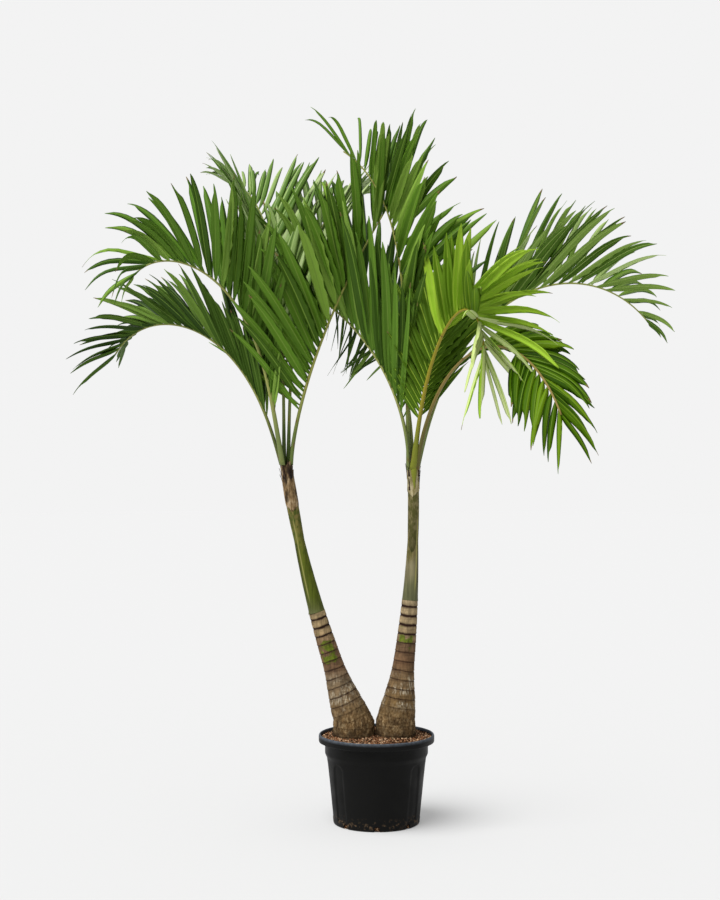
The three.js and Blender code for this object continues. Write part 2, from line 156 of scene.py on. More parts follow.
# What the two fronds behind the left crown have in common
REAR = dict(bare=0.28, near=0.4, curl=0.05, sag=0.05, ragged=1.3, stout=0.9, slot="leaf_mid", tint="pale")

FRONDS = [
    dict(name="right_bright_frond", stem="right", seat=270, heading=-63, turn=-20, rise=77, droop=72,
         bend=1.9, length=1.154, tip=True, roll=20, leaf=0.400, width=0.042, spread=(46, 58, 16),
         lift=(36, 66, 10), tilt=(-25, -75, -98), curl=0.1, near=0.3, far=0.25, fade=3,
         hook=(0.05, 0.15, 0.12), pairs=36, thin=0.5, loose=0.3, ragged=1.4, bands=(0.42, 0.82),
         stout=1.35, gaps=0.05, slot="leaf_bright", tint="bright"),
    dict(name="left_fan_frond", stem="left", seat=230, heading=189, turn=33.5, rise=80.6, droop=49,
         bend=2.7, length=1.160, tip=True, leaf=0.500, spread=(16, 48, 24), lift=(62, 66, 20),
         sag=0.16, curl=0.08, near=0.6, far=0.74, fade=3, hook=(0.05, 0.02, 0.5), stout=1.7),
    dict(name="left_inner_frond", stem="left", seat=0, heading=12, turn=2, rise=90, droop=-57,
         bend=0.5, length=1.230, leaf=0.520, width=0.046, spread=(60, 40, 26), lift=(74, 60, 40), curl=0,
         near=0.1, far=0.3, gaps=0.3, stout=1.3, slot="leaf_mid", tint="mid"),
    dict(name="right_tall_frond", stem="right", seat=150, heading=139, turn=32, rise=88.5, droop=-34,
         bend=4, length=1.330, bare=0.26, leaf=0.510, width=0.042, spread=(46, 54, 24),
         lift=(40, 62, 60), curl=0.1, near=0.2, far=0.46, fade=1.2, pairs=32, thin=0.26, loose=0.34,
         ragged=1.6, gaps=0.16, stout=1.3, slot="leaf_mid", tint="mid"),
    dict(name="right_far_frond", stem="right", seat=30, heading=22.3, turn=4.4, rise=76, droop=47,
         bend=1.55, length=1.550, tip=True, bare=0.28, leaf=0.530, width=0.036, spread=(24, 50, 24),
         roll=-20, lift=(60, 66, 40), sag=0.1, curl=0.1, far=0.8, fade=1.3, pairs=24, tint="far"),
    dict(name="right_low_frond", stem="right", seat=330, heading=-65, turn=-2.6, rise=76.6, droop=54,
         bend=0.97, length=1.360, tip=True, bare=0.36, leaf=0.290, width=0.046, spread=(36, 44, 28),
         lift=(20, -15, -40), roll=-24, tilt=(28, 40, 28), sag=0.3, near=0.35, far=0.4, fade=1,
         pairs=25, clear=0.55, tint="low"),
    dict(name="left_low_frond", stem="left", seat=175, heading=168, turn=-25, rise=74, droop=50,
         bend=1.75, length=1.110, tip=True, leaf=0.385, width=0.027, spread=(20, 28, 34),
         tilt=(28, 28, -30), far=0.42, fade=1.1, hook=(0.05, 0.08, 0.12), pairs=30, thin=0.95, tint="deep"),
    dict(name="right_inner_frond", stem="right", seat=210, heading=155, turn=-20, rise=91, droop=-10,
         bend=0.9, length=1.150, leaf=0.590, spread=(40, 54, 30), lift=(60, 60, 40), near=-0.05),
    dict(name="left_upright_frond", stem="left", seat=65, heading=60, rise=88, droop=-20, bend=2.2,
         length=1.280, leaf=0.480, spread=(18, 28, 22), lift=(25, 25, 10), **REAR),
    dict(name="left_rear_frond", stem="left", seat=120, heading=112, turn=10, rise=89, droop=-20,
         bend=2.4, length=1.320, leaf=0.490, spread=(18, 36, 25), lift=(25, 35, 20), **REAR),
    dict(name="right_rear_frond", stem="right", seat=90, heading=128, turn=10, rise=88, droop=0,
         length=0.930, bare=0.5, leaf=0.290, width=0.017, spread=(76, 92, 96),
         lift=(-84, -86, -84), sag=0.1, gaps=0, pairs=9, stout=0.9, tint="deep"),
]
FRONDS = [Data(**{**FROND, **frond}) for frond in FRONDS]

# A leaflet's cross-section: six points over its ridged face, four under it. Its outline is given at
# places along it, as a share of its half width. It is longest at the row's crest, and above a chance
# of DRY_ABOVE its tip is dry
LEAF_ACROSS = np.array([-1, -0.55, -0.07, 0.07, 0.55, 1, 0.55, 0.09, -0.09, -0.55])
LEAF_HEIGHT = np.array([-0.5, -0.2, 0.02, 0.02, -0.2, -0.5, -0.2, 0.0, 0.0, -0.2])
LEAF_UNDER = np.array([0, 0, 0, 0, 0, 0, 1, 1, 1, 1])
LEAF_PLACES = (0, 0.04, 0.12, 0.24, 0.38, 0.52, 0.64, 0.74, 0.82, 0.89, 0.95, 1)
LEAF_SHAPE = (0.16, 0.36, 0.72, 0.95, 1.0, 0.96, 0.88, 0.77, 0.64, 0.5, 0.34, 0.1)
BLUNT_SHAPE = (0.16, 0.36, 0.66, 0.86, 0.96, 1.0, 0.98, 0.95, 0.9, 0.82, 0.66, 0.34)
SLIM_SHAPE = (0.16, 0.36, 0.72, 0.95, 1.0, 0.94, 0.80, 0.64, 0.48, 0.33, 0.19, 0.05)
LEAF_SKIN = 0.0008
ROW_CREST = 0.35
DRY_ABOVE = 0.72

# Leaf colours as the eye reads them in the photo, on a scale of 255: three or four tones of the
# upper face, as many of the underside, the ridge, the rib and the petiole
TINTS = {
    "deep": Data(upper=((36, 62, 8), (60, 90, 16), (100, 134, 44)),
                 under=((42, 68, 12), (66, 96, 24), (106, 138, 52)),
                 ridge=(106, 134, 54), rib=(134, 140, 74), petiole=(84, 94, 44)),
    "dark": Data(upper=((58, 92, 16), (84, 124, 28), (124, 162, 54)),
                 under=((64, 96, 22), (90, 128, 36), (132, 168, 68)),
                 ridge=(112, 146, 52), rib=(150, 154, 84), petiole=(110, 122, 68)),
    "mid": Data(upper=((60, 94, 12), (88, 128, 24), (124, 162, 48)),
                under=((66, 98, 18), (94, 134, 34), (132, 168, 64)),
                ridge=(122, 154, 58), rib=(158, 160, 82), petiole=(98, 114, 56)),
    "far": Data(upper=((72, 108, 22), (120, 154, 60), (174, 200, 120)),
                under=((78, 112, 28), (128, 160, 70), (180, 204, 132)),
                ridge=(152, 178, 94), rib=(154, 160, 84), petiole=(110, 122, 68)),
    "pale": Data(upper=((94, 128, 50), (136, 164, 90), (176, 196, 134)),
                 under=((102, 134, 60), (144, 170, 102), (184, 202, 150)),
                 ridge=(166, 188, 118), rib=(150, 160, 88), petiole=(70, 86, 38)),
    "low": Data(gloss=0.05, upper=((46, 76, 2), (66, 98, 4), (98, 130, 18)),
                under=((50, 80, 4), (72, 104, 8), (106, 138, 28)),
                ridge=(104, 134, 30), rib=(132, 114, 58), petiole=(96, 92, 44)),
    "bright": Data(upper=((70, 104, 10), (100, 140, 16), (142, 182, 36), (196, 212, 134)),
                   under=((76, 108, 14), (108, 146, 26), (156, 194, 52), (204, 218, 152)),
                   ridge=(160, 190, 62), rib=(150, 138, 40), petiole=(120, 126, 38)),
}
LEAF_GLOSS = 0.16
DRY_TIP = (118, 104, 60)
SCURF = (104, 82, 40)

# Pot colours, and the heights between which the rim's top gets a painted highlight of mottled bluish grey
# and the foot is dusty
POT_BLACK = (13, 13, 12)
# Painted highlight along the rim's top: mottled from dark grey to pale bluish grey
RIM_HIGHLIGHT = Data(dark=(34, 36, 40), pale=(110, 118, 128), low=0.332, high=0.346)
POT_DUST = Data(colour=(104, 84, 62), top=0.055, foot=0.004)

# Colours of the soil and of the dry sheaths, from dark to light
SOIL_TONES = {
    "soil_bed": ((14, 8, 4), (70, 46, 26), (160, 124, 90)),
    "soil_red": ((92, 56, 36), (160, 116, 82)),
    "soil_brown": ((26, 15, 8), (76, 52, 32)),
    "soil_pale": ((150, 116, 86), (222, 190, 154)),
}
SHEATH_TONES = {
    "sheath_left": dict(patch=0.34, colours=((40, 28, 16), (100, 78, 48), (140, 116, 82), (176, 156, 126))),
    "sheath_right": dict(patch=0.72, colours=((104, 92, 50), (154, 142, 100), (192, 180, 148))),
    "sheath_torn": dict(patch=0.34, colours=((30, 22, 16), (62, 44, 30), (96, 74, 50))),
}

# Bark colours from the soil up to BARK_TOP, and what grows on it or stains it
BARK_TOP = 0.87
BARK_TONES = {
    "left": ((0.0, (96, 74, 44)), (0.22, (112, 90, 60)), (0.42, (120, 102, 78)), (0.52, (112, 86, 62)),
             (0.68, (124, 98, 72)), (0.78, (150, 128, 94)), (1.0, (156, 136, 100))),
    "right": ((0.0, (88, 66, 38)), (0.25, (106, 84, 52)), (0.45, (114, 92, 64)), (0.55, (106, 80, 56)),
              (0.68, (114, 90, 66)), (0.76, (146, 126, 94)), (1.0, (156, 138, 106))),
}
MATTED_ROOTS = ((0.36, (60, 42, 22)), (0.50, (112, 88, 56)), (0.66, (178, 156, 118)))
MOSS = ((0.38, (58, 68, 14)), (0.62, (110, 128, 30)))
LICHEN = (186, 174, 150)
WET_BARK = (44, 31, 18)
SCAR_TONE = (38, 20, 12)

# Crownshaft colours between two heights, its blotches and where they set in, the colour of its painted shade
# and shadow, and its margin's pale line
SHAFT_SPAN = (0.84, 1.41)
SHAFT_TONES = {
    "left": ((0.0, (92, 96, 58)), (0.05, (84, 90, 42)), (0.12, (78, 88, 24)), (0.4, (84, 92, 26)),
             (0.5, (104, 104, 44)), (0.65, (114, 104, 56)), (1.0, (120, 106, 62))),
    "right": ((0.0, (88, 92, 62)), (0.2, (98, 98, 68)), (0.26, (120, 114, 84)), (0.35, (128, 120, 90)),
              (0.40, (116, 106, 68)), (0.6, (124, 114, 78)), (1.0, (132, 122, 84))),
}
BLOTCHES = {
    "left": Data(colour=(60, 76, 20), low=0.95, high=1.12),
    "right": Data(colour=(74, 74, 30), low=1.0, high=1.06),
}
SHAFT_SHADE = (44, 46, 14)
SHAFT_MARGIN = (146, 142, 84)


def linear(red, green, blue):
    """A colour on a scale of 255, as the eye reads it, in the values that a shader takes."""
    values = []
    for value in (red, green, blue):
        share = value / 255
        values.append(share / 12.92 if share <= 0.04045 else ((share + 0.055) / 1.055) ** 2.4)
    return (*values, 1.0)


def smoothstep(value, low, high):
    share = np.clip((value - low) / (high - low), 0, 1)
    return share * share * (3 - 2 * share)


def band(value, low, low_end, high_end, high):
    """Rises from 0 at low to 1 at low_end, and falls from 1 at high_end to 0 at high."""
    return smoothstep(value, low, low_end) * (1 - smoothstep(value, high_end, high))


def turned(angle, middle):
    """The angle as seen from the middle one, between minus and plus half a turn."""
    return (angle - middle + pi) % (2 * pi) - pi


def full_turn(sides):
    """The angles of that many points round a circle."""
    return np.linspace(0, 2 * pi, sides, endpoint=False)


def shares(count):
    """That many even steps from 0 to 1."""
    return [step / (count - 1) for step in range(count)]


def circle(radius, angles, height):
    """The points of a level ring round the pot's axis."""
    return np.stack([radius * np.cos(angles), radius * np.sin(angles), np.full(len(angles), height)], 1)


def outward(angle):
    """The level directions away from an upright axis and sideways round it."""
    out = np.array([cos(angle), sin(angle), 0])
    side = np.array([-sin(angle), cos(angle), 0])
    return out, side


def unit(vector):
    return vector / np.linalg.norm(vector, axis=-1, keepdims=True)


def scatter(seed):
    """The same scatter from 0 to 1 for the same seed, at every run."""
    value = sin(seed * 12.9898) * 43758.5453
    return value - np.floor(value)


def along(values, place):
    """Three values along a row: at its root, at 0.6 of it and at its tip."""
    return float(np.interp(place, (0, 0.6, 1), values))


def cloud(points, scale, seed, upright=1):
    """Smooth noise from about -1 to 1 at each point, with features of about 1 / scale metres.
    Below 1, the upright share draws them out upwards."""
    shift = Vector((seed * 7.3, seed * 3.1, seed * 5.7))
    places = points * np.array([1, 1, upright])
    return np.array([noise.fractal(Vector(place) * scale + shift, 0.9, 2.1, 3) for place in places])


# Meshes
def make_mesh(name, points, faces, materials, face_slots=None, uv=None):
    mesh = bpy.data.meshes.new(name)
    mesh.from_pydata([tuple(point) for point in points], [], faces)
    for material in materials:
        mesh.materials.append(material)
    if face_slots is not None:
        mesh.polygons.foreach_set("material_index", np.asarray(face_slots, dtype=np.int32))
    mesh.polygons.foreach_set("use_smooth", np.ones(len(mesh.polygons), dtype=bool))
    if uv is not None:
        corners = np.zeros(len(mesh.loops), dtype=np.int32)
        mesh.loops.foreach_get("vertex_index", corners)
        layer = mesh.uv_layers.new(name="UVMap")
        layer.data.foreach_set("uv", np.asarray(uv, dtype=np.float32)[corners].ravel())
    mesh.update()
    piece = bpy.data.objects.new(name, mesh)
    bpy.context.scene.collection.objects.link(piece)
    return piece


def loft_faces(rings, sides, caps=True):
    """Faces of a tube whose points lie ring after ring, with both ends closed or left open."""
    faces = []
    for ring in range(rings - 1):
        low = ring * sides
        for side in range(sides):
            after = (side + 1) % sides
            faces.append((low + side, low + after, low + sides + after, low + sides + side))
    if caps:
        last = (rings - 1) * sides
        faces.append(tuple(reversed(range(sides))))
        faces.append(tuple(last + side for side in range(sides)))
    return faces


def flipped(faces):
    return [tuple(reversed(face)) for face in faces]


def part(points, faces, slot=0):
    """A (points, faces, slots, uv) set that is all of one material, and needs no uv."""
    return points, faces, [slot] * len(faces), np.zeros((len(points), 2))


def joined(pieces):
    """Several (points, faces, slots, uv) sets as one."""
    points, faces, slots, uv = [], [], [], []
    start = 0
    for more_points, more_faces, more_slots, more_uv in pieces:
        points.append(more_points)
        faces.extend(tuple(corner + start for corner in face) for face in more_faces)
        slots.extend(more_slots)
        uv.append(more_uv)
        start += len(more_points)
    return np.vstack(points), faces, slots, np.vstack(uv)


def paint(piece, name, *masks):
    """Stores up to three masks, with a share from 0 to 1 for each point, as a colour attribute."""
    colours = np.zeros((len(piece.data.vertices), 4), dtype=np.float32)
    colours[:, 3] = 1
    for channel, mask in enumerate(masks):
        colours[:, channel] = np.clip(mask, 0, 1)
    layer = piece.data.color_attributes.new(name, "FLOAT_COLOR", "POINT")
    layer.data.foreach_set("color", colours.ravel())


# Materials
def give(tree, socket, value):
    """Sets an input to a value, or links it to another node's output."""
    if isinstance(value, bpy.types.NodeSocket):
        tree.links.new(value, socket)
    else:
        socket.default_value = value


def add_node(tree, kind, inputs=None, **settings):
    """A node with its settings, and its inputs given as values or as other nodes' outputs."""
    node = tree.nodes.new(f"ShaderNode{kind}")
    for key, value in settings.items():
        setattr(node, key, value)
    for key, value in (inputs or {}).items():
        give(tree, node.inputs[key], value)
    return node


def new_material(name, **sockets):
    """A material, its tree and its shader. A socket's name is written with underscores."""
    material = bpy.data.materials.new(name)
    material.use_nodes = True
    tree = material.node_tree
    shader = tree.nodes["Principled BSDF"]
    for key, value in sockets.items():
        shader.inputs[key.replace("_", " ")].default_value = value
    return material, tree, shader


def grey(value):
    return (value, value, value, 1.0)


def ramp(tree, factor, stops):
    """The factor as a colour, by stops of a place and the colour there."""
    node = add_node(tree, "ValToRGB", {"Fac": factor})
    elements = node.color_ramp.elements
    while len(elements) < len(stops):
        elements.new(0.5)
    for element, (place, colour) in zip(elements, stops):
        element.position = place
        element.color = colour
    return node.outputs["Color"]


def tone_ramp(tree, factor, stops):
    return ramp(tree, factor, [(place, linear(*colour)) for place, colour in stops])


def grey_ramp(tree, factor, *stops):
    return ramp(tree, factor, [(place, grey(value)) for place, value in stops])


def even_stops(colours, first, length):
    """Stops at even distances, from the first place on."""
    return [(first + length * index / (len(colours) - 1), colour) for index, colour in enumerate(colours)]


def blend_colours(tree, factor, first, second, mode="MIX"):
    node = add_node(tree, "Mix", data_type="RGBA", blend_type=mode, clamp_factor=True)
    for index, value in ((0, factor), (6, first), (7, second)):
        give(tree, node.inputs[index], value)
    return node.outputs[2]


def mottled(tree, tone, texture, *stops):
    """The tone made darker and lighter by a texture, by stops of a place and a lightness."""
    return blend_colours(tree, 1.0, tone, grey_ramp(tree, texture, *stops), "MULTIPLY")


def object_noise(tree, scale, detail=4, stretch=(1, 1, 1), roughness=0.55):
    place = add_node(tree, "TexCoord").outputs["Object"]
    mapping = add_node(tree, "Mapping", {"Vector": place, "Scale": stretch})
    node = add_node(tree, "TexNoise", {"Vector": mapping.outputs[0], "Scale": scale,
                                       "Detail": detail, "Roughness": roughness})
    return node.outputs["Fac"]


def object_height(tree):
    place = add_node(tree, "TexCoord").outputs["Object"]
    return add_node(tree, "SeparateXYZ", {"Vector": place}).outputs["Z"]


def rescaled(tree, value, low, high, top=1.0):
    """A value as a share that goes from 0 at low to the top share at high."""
    node = add_node(tree, "MapRange", {"Value": value, "From Min": low, "From Max": high, "To Max": top})
    return node.outputs[0]


def product(tree, first, second, more=0.0):
    """The first times the second, plus more."""
    node = add_node(tree, "Math", {0: first, 1: second, 2: more}, operation="MULTIPLY_ADD")
    return node.outputs[0]


def painted(tree, layer):
    """The masks that a mesh holds in a colour attribute, by the names of its channels."""
    colour = add_node(tree, "VertexColor", layer_name=layer).outputs["Color"]
    return add_node(tree, "SeparateColor", {"Color": colour}).outputs


def add_surface(tree, shader, tone, height, strength, distance):
    """Gives the shader a colour, and relief by a height between 0 and 1."""
    give(tree, shader.inputs["Base Color"], tone)
    node = add_node(tree, "Bump", {"Height": height, "Strength": strength, "Distance": distance})
    tree.links.new(node.outputs["Normal"], shader.inputs["Normal"])


def leaf_material(name, colour, roughness, gloss=LEAF_GLOSS):
    """A leaf's face: a plain colour, with fine veins that run along it."""
    material, tree, shader = new_material(name, Roughness=roughness, Specular_IOR_Level=gloss)
    place = add_node(tree, "TexCoord").outputs["UV"]
    veins = add_node(tree, "TexWave", {"Vector": place, "Scale": 7.0, "Distortion": 0.3},
                     wave_type="BANDS", bands_direction="X")
    add_surface(tree, shader, linear(*colour), veins.outputs["Fac"], 0.25, 0.0006)
    return material


def leaf_materials(kind):
    """The materials of one kind of frond: upper tones, as many undersides, the ridge, the dry tip."""
    tint = TINTS[kind]
    gloss = getattr(tint, "gloss", LEAF_GLOSS)
    shades = ("shade", "plain", "light", "pale")
    upper = [leaf_material(f"leaf_{kind}_{shade}", colour, 0.45, gloss)
             for shade, colour in zip(shades, tint.upper)]
    under = [leaf_material(f"under_{kind}_{shade}", colour, 0.6)
             for shade, colour in zip(shades, tint.under)]
    return [*upper, *under, leaf_material(f"ridge_{kind}", tint.ridge, 0.5), MATERIALS["leaf_dry_tip"]]


def rib_material(name, tint):
    """A green petiole that turns into an olive rib, with brown scurf in streaks along it."""
    material, tree, shader = new_material(name, Roughness=0.5, Specular_IOR_Level=0.2)
    place = add_node(tree, "TexCoord").outputs["UV"]
    share = add_node(tree, "SeparateXYZ", {"Vector": place}).outputs["Y"]
    plain = tone_ramp(tree, share, [(0.10, tint.petiole), (0.26, tint.rib)])
    streaks = object_noise(tree, 60, 5, (1, 1, 0.25))
    scurf = grey_ramp(tree, streaks, (0.30, 1), (0.40, 0))
    tone = blend_colours(tree, scurf, plain, linear(*SCURF))
    add_surface(tree, shader, tone, streaks, 0.3, 0.0006)
    return material


def pot_material():
    """Black moulded plastic, dusty low down, with a painted highlight of mottled bluish grey along the rim's
    top.
    """
    material, tree, shader = new_material("pot_plastic", Roughness=0.5, Specular_IOR_Level=0.1)
    height = object_height(tree)
    fine = object_noise(tree, 90, 6)
    # Painted highlight: the rim's top turns a mottled pale bluish grey
    rim_highlight = blend_colours(tree, fine, linear(*RIM_HIGHLIGHT.dark), linear(*RIM_HIGHLIGHT.pale))
    rim = rescaled(tree, height, RIM_HIGHLIGHT.low, RIM_HIGHLIGHT.high)
    base = blend_colours(tree, rim, linear(*POT_BLACK), rim_highlight)
    low_down = rescaled(tree, height, POT_DUST.top, POT_DUST.foot)
    specks = grey_ramp(tree, object_noise(tree, 75, 8, roughness=0.7), (0.55, 0), (0.61, 1))
    tone = blend_colours(tree, product(tree, low_down, specks), base, linear(*POT_DUST.colour))
    rough = grey_ramp(tree, object_noise(tree, 14, 6), (0.3, 0.42), (0.7, 0.62))
    tree.links.new(rough, shader.inputs["Roughness"])
    add_surface(tree, shader, tone, fine, 0.12, 0.0005)
    return material


def soil_material(name, colours):
    """Potting mix in one of its tones, mottled."""
    material, tree, shader = new_material(name, Roughness=0.95, Specular_IOR_Level=0.08)
    grain = object_noise(tree, 160, 6, roughness=0.7)
    tone = tone_ramp(tree, grain, even_stops(colours, 0.3, 0.4))
    add_surface(tree, shader, tone, grain, 0.8, 0.0015)
    return material


def matted_tone(tree, height, fringe):
    """The foot of a trunk: matted roots with damp patches, and wet just over the soil."""
    roots = tone_ramp(tree, fringe, MATTED_ROOTS)
    roots = mottled(tree, roots, object_noise(tree, 30, 6, (1, 1, 0.8), 0.7), (0.40, 0.52), (0.60, 1.15))
    uneven = product(tree, object_noise(tree, 45, 6), 0.09, height)
    return blend_colours(tree, rescaled(tree, uneven, 0.420, 0.385, 0.75), roots, linear(*WET_BARK))


def bark_material(name, stops):
    """Bark whose tone changes with height. The mesh's bark attribute holds scar, lichen and moss."""
    material, tree, shader = new_material(name, Roughness=0.9, Specular_IOR_Level=0.15)
    height = object_height(tree)
    fibres = object_noise(tree, 120, 8, (1, 1, 0.22), 0.65)
    stains = object_noise(tree, 34, 5, (1, 1, 0.5), 0.6)
    fine_rings = object_noise(tree, 40, 5, (0.35, 0.35, 7), 0.6)
    tone = tone_ramp(tree, rescaled(tree, height, STEM_FOOT, BARK_TOP), stops)
    tone = mottled(tree, tone, fibres, (0.32, 0.6), (0.5, 1.0), (0.68, 1.35))
    tone = mottled(tree, tone, stains, (0.36, 0.66), (0.56, 1.08))
    tone = mottled(tree, tone, fine_rings, (0.36, 0.72), (0.52, 1.06))
    masks = painted(tree, "bark")
    flecks = grey_ramp(tree, object_noise(tree, 210, 4, (1, 1, 0.2), 0.6), (0.46, 0), (0.64, 0.9))
    tone = blend_colours(tree, product(tree, masks["Green"], flecks), tone, linear(*LICHEN))
    fringe = object_noise(tree, 95, 10, (1, 1, 0.6), 0.8)
    foot = rescaled(tree, height, 0.475, 0.405)
    tone = blend_colours(tree, foot, tone, matted_tone(tree, height, fringe))
    tone = blend_colours(tree, masks["Blue"], tone, tone_ramp(tree, fringe, MOSS))
    tone = blend_colours(tree, masks["Red"], tone, linear(*SCAR_TONE))
    add_surface(tree, shader, tone, fibres, 0.7, 0.002)
    return material


def shaft_material(name, stops, blotch):
    """A crownshaft: green bands that change with height, ribbed along it and blotched from a height up.
    The mesh's marks attribute holds its painted shade, a painted shadow at a sheath's end, and the pale line
    of its margin."""
    material, tree, shader = new_material(name, Roughness=0.55, Specular_IOR_Level=0.1)
    height = object_height(tree)
    uneven = product(tree, object_noise(tree, 18, 4), 0.05, height)
    streaks = object_noise(tree, 110, 5, (1, 1, 0.05))
    tone = tone_ramp(tree, rescaled(tree, uneven, *SHAFT_SPAN), stops)
    tone = mottled(tree, tone, streaks, (0.35, 0.68), (0.65, 1.2))
    spots = grey_ramp(tree, object_noise(tree, 75, 6, (1, 1, 0.45), 0.65), (0.46, 0), (0.55, 0.85))
    zone = rescaled(tree, height, blotch.low, blotch.high)
    tone = blend_colours(tree, product(tree, spots, zone), tone, linear(*blotch.colour))
    masks = painted(tree, "marks")
    # Painted shade and painted shadow, from the red mask
    tone = blend_colours(tree, masks["Red"], tone, linear(*SHAFT_SHADE))
    tone = blend_colours(tree, masks["Green"], tone, linear(*SHAFT_MARGIN))
    add_surface(tree, shader, tone, streaks, 0.35, 0.001)
    return material


def sheath_material(name, colours, patch):
    """A dry leaf sheath: papery, in tans and browns that run along it, with darker patches."""
    material, tree, shader = new_material(name, Roughness=0.8, Specular_IOR_Level=0.2)
    streaks = object_noise(tree, 75, 8, (1, 1, 0.22), 0.7)
    patches = object_noise(tree, 38, 5, (1, 1, 0.6), 0.6)
    tone = tone_ramp(tree, streaks, even_stops(colours, 0.34, 0.3))
    tone = mottled(tree, tone, patches, (0.42, patch), (0.53, 1.05))
    add_surface(tree, shader, tone, streaks, 0.7, 0.0015)
    return material


def make_materials():
    """All materials by name, apart from the leaves' green ones."""
    made = [leaf_material("leaf_dry_tip", DRY_TIP, 0.7), pot_material()]
    made += [rib_material(f"rib_{kind}", tint) for kind, tint in TINTS.items()]
    made += [soil_material(name, colours) for name, colours in SOIL_TONES.items()]
    made += [sheath_material(name, **tones) for name, tones in SHEATH_TONES.items()]
    for side in STEMS:
        made.append(bark_material(f"bark_{side}", BARK_TONES[side]))
        made.append(shaft_material(f"shaft_{side}", SHAFT_TONES[side], BLOTCHES[side]))
    return {material.name: material for material in made}


# Pot
def pot_radius(angle, height):
    """The outer wall's radius, with the flutes pressed in."""
    wall = np.interp(height, (0, SHOULDER.height, COLLAR.bottom, COLLAR.top),
                     (FOOT_RADIUS, SHOULDER.radius, COLLAR.radius, COLLAR.radius))
    half = FLUTE.width / 2
    over_foot = smoothstep(height, FLUTE.bottom, FLUTE.bottom + FLUTE.foot_edge)
    for middle in FLUTE_ANGLES:
        across = turned(angle, radians(middle - 90)) * wall
        up = np.maximum(0, height - (FLUTE.top - half))
        reach = np.sqrt(across ** 2 + up ** 2)
        wall = wall - FLUTE.depth * (smoothstep(half - reach, 0, FLUTE.edge) * over_foot)
    return wall


def make_pot():
    """The wall as one skin, outside and in, with rounded rim and foot and cut notches."""
    angles = full_turn(POT_SIDES)
    rings = []
    for height in np.concatenate(([0.0, 0.002, 0.005], np.linspace(0.01, WALL_TOP, WALL_RINGS))):
        below = 1 - min(height / FOOT_ROUND.height, 1)
        ease = FOOT_ROUND.radius * (1 - sqrt(1 - below ** 2))
        rings.append(circle(pot_radius(angles, height) - ease, angles, height))
    rings += [circle(radius, angles, height) for radius, height in POT_PROFILE]
    faces = loft_faces(len(rings), POT_SIDES)
    pot = make_mesh("pot_shell", np.vstack(rings), faces, [MATERIALS["pot_plastic"]])
    cut_notches(pot)
    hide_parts("pot")
    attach(pot, "root")


def cut_notches(pot):
    """Cuts the drain notches, with round tops, through the foot of the wall."""
    half = NOTCH.width / 2
    arc = [pi * share for share in shares(9)]
    ring = [(half, NOTCH.below)]
    ring += [(half * cos(turn), NOTCH.height - half + half * sin(turn)) for turn in arc]
    ring += [(-half, NOTCH.below)]
    parts = []
    for angle in NOTCH_ANGLES:
        out, side = outward(angle)
        points = [out * reach + side * across + np.array([0, 0, up])
                  for reach in NOTCH.reaches for across, up in ring]
        parts.append(part(np.array(points), loft_faces(2, len(ring))))
    points, faces, _, _ = joined(parts)
    cutter = make_mesh("notch_cutter", points, faces, [])
    cut = pot.modifiers.new("notches", "BOOLEAN")
    cut.operation = "DIFFERENCE"
    cut.solver = "EXACT"
    cut.object = cutter
    bake_modifiers(pot)
    bpy.data.objects.remove(cutter)


def bake_modifiers(piece):
    """Applies all modifiers to the piece's own mesh."""
    graph = bpy.context.evaluated_depsgraph_get()
    mesh = bpy.data.meshes.new_from_object(piece.evaluated_get(graph))
    piece.modifiers.clear()
    piece.data = mesh


# Soil
def soil_height(x, y):
    """The soil's surface: a low dome."""
    radius = np.hypot(x, y)
    return SOIL.edge + (SOIL.crown - SOIL.edge) * (1 - (radius / SOIL.radius) ** 2)


def make_soil():
    """The bed: a rough dome over a skirt."""
    angles = full_turn(SOIL.sides)
    radii = [max(SOIL.radius * (1 - share), 0.0005) for share in shares(SOIL.rings)]
    dome = np.vstack([circle(radius, angles, 0.0) for radius in radii])
    dome[:, 2] = soil_height(dome[:, 0], dome[:, 1])
    dome[:, 2] += 0.0022 * cloud(dome, 60, 1) + 0.0012 * cloud(dome, 170, 2)
    skirt = [circle(radius, angles, height) for radius, height in reversed(SOIL_SKIRT)]
    faces = loft_faces(len(SOIL_SKIRT) + SOIL.rings, SOIL.sides)
    bed = make_mesh("soil_bed", np.vstack([*skirt, dome]), faces, [MATERIALS["soil_bed"]])
    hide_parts("soil")
    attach(bed, "root")


def crumb(place, size, chances, random):
    """A lump of mix in a tone by chance: a jittered eight-sided stone, turned at random."""
    slot = int(random.choice([0, 1, 2], p=chances))
    turn, _ = np.linalg.qr(random.standard_normal((3, 3)))
    shape = CRUMB * random.uniform(0.55, 1.25, (6, 1)) * random.uniform(0.6, 1.2, (1, 3)) * size
    return part(shape @ turn.T + place, CRUMB_FACES, slot)


def under_stem(x, y):
    return any(hypot(x - stem.foot_x, y) < stem_radius(stem, STEM_FOOT) - CRUMBS.inset
               for stem in STEMS.values())


